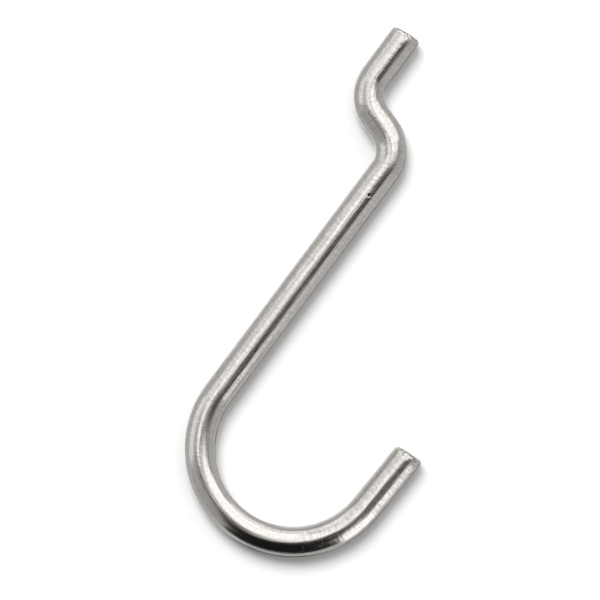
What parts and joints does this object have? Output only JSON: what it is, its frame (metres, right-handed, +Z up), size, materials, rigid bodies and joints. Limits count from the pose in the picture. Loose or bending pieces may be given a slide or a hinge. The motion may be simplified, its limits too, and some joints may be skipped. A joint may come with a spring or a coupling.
{
  "type": "pegboard hook",
  "caption": "Hook bent from round plated wire: an upturned peg and crank that straddle a pegboard, a straight shank and an open J with a short prong.",
  "frame": {"origin": "middle of the straight upturned peg, on its axis, behind the board", "axes": "+Z up as the hook hangs, along the peg and parallel to the shank; +X from the board towards the open side of the J; the bent wire lies in the XZ plane"},
  "size_m": [0.0523, 0.0056, 0.0939],
  "materials": {
    "plated_wire": "bright zinc or nickel plating over drawn steel wire, satin with faint lengthwise draw lines"
  },
  "bodies": {
    "root": {"hook": "plated_wire"}
  },
  "joints": []
}
